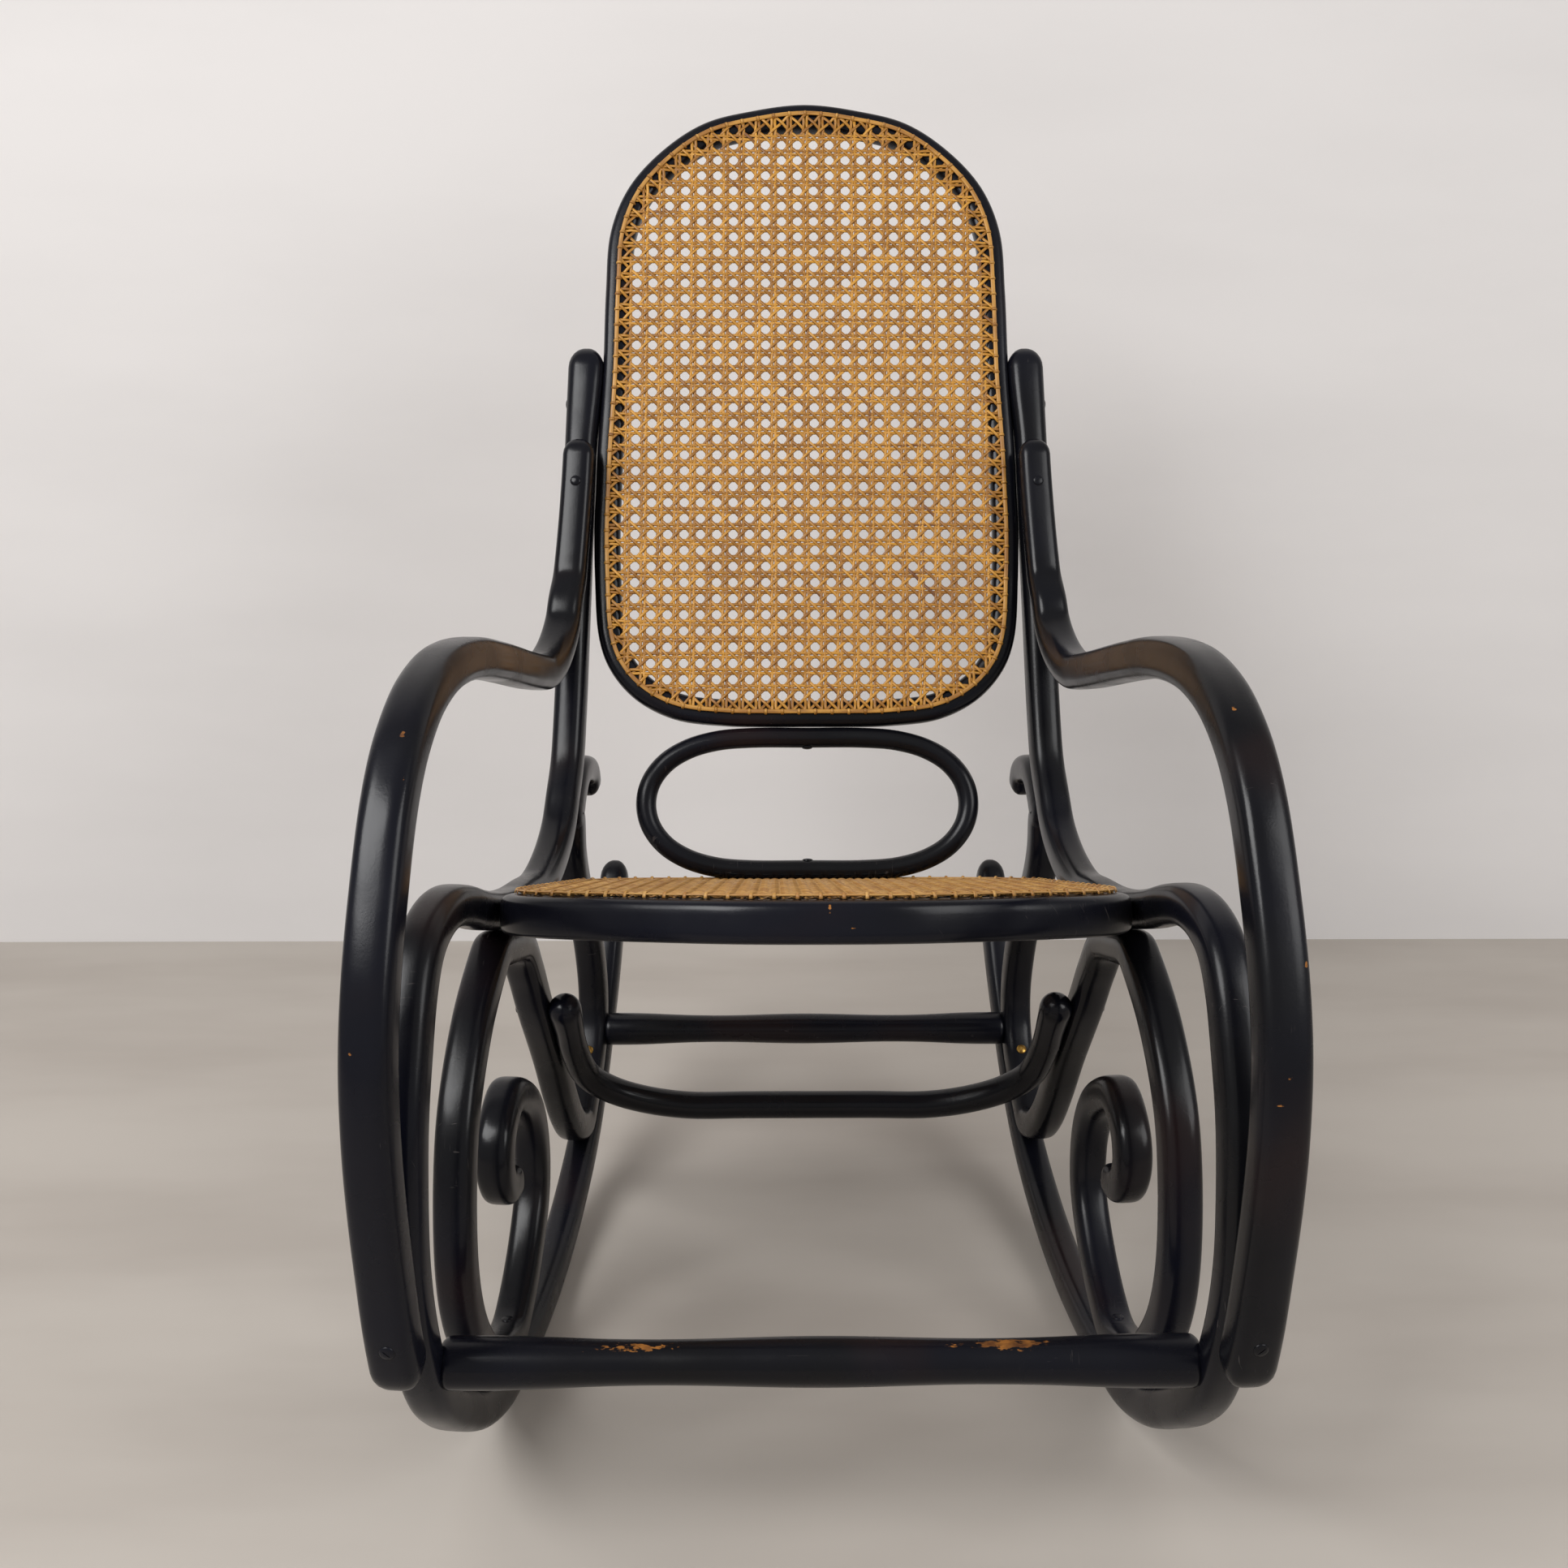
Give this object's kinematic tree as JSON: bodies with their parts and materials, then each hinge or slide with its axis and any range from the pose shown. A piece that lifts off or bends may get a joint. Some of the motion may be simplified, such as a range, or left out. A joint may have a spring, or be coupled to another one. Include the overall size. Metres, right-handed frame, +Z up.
{
  "type": "bentwood rocking chair",
  "caption": "Rocking chair of black bentwood with scrolled sides, swept arms, an oval ring and a tall woven cane back and seat.",
  "frame": {"origin": "on the floor, under the middle of the chair's bounding box", "axes": "+Z up, the sitter faces -Y, +X to the chair's left-hand side as the sitter sees it"},
  "size_m": [0.5832, 0.8484, 1.058],
  "materials": {
    "lacquer": "black satin lacquer on bent beech",
    "back_cane": "woven cane, honey coloured",
    "seat_cane": "woven cane, paler",
    "brass": "domed screw head",
    "steel": "dark screw"
  },
  "bodies": {
    "root": {"seat_frame": "lacquer", "oval_ring": "lacquer", "back_frame": "lacquer", "seat_cane_binder": "seat_cane", "seat_cane": "seat_cane", "back_cane_binder": "back_cane", "back_cane": "back_cane", "front_stretcher": "lacquer", "rear_stretcher": "lacquer", "u_stretcher": "lacquer", "oval_top_screw": "steel", "oval_bottom_screw": "steel", "side_rail_right": "lacquer", "side_rail_left": "lacquer", "arm_right": "lacquer", "arm_left": "lacquer", "scroll_right": "lacquer", "scroll_left": "lacquer", "arm_top_screw_right": "steel", "arm_top_screw_left": "steel", "arm_foot_screw_right": "steel", "arm_foot_screw_left": "steel", "scroll_arch_screw_right": "steel", "scroll_arch_screw_left": "steel", "scroll_foot_screw_right": "steel", "scroll_foot_screw_left": "steel", "scroll_heel_screw_right": "brass", "scroll_heel_screw_left": "brass", "scroll_waist_screw_right": "steel", "scroll_waist_screw_left": "steel", "back_upper_screw_right": "steel", "back_upper_screw_left": "steel", "back_lower_screw_right": "steel", "back_lower_screw_left": "steel", "seat_front_screw_right": "steel", "seat_front_screw_left": "steel", "seat_rear_screw_right": "steel", "seat_rear_screw_left": "steel", "front_stretcher_screw_right": "steel", "front_stretcher_screw_left": "steel", "rear_stretcher_screw_right": "steel", "rear_stretcher_screw_left": "steel", "u_stretcher_screw_right": "steel", "u_stretcher_screw_left": "steel"}
  },
  "joints": []
}
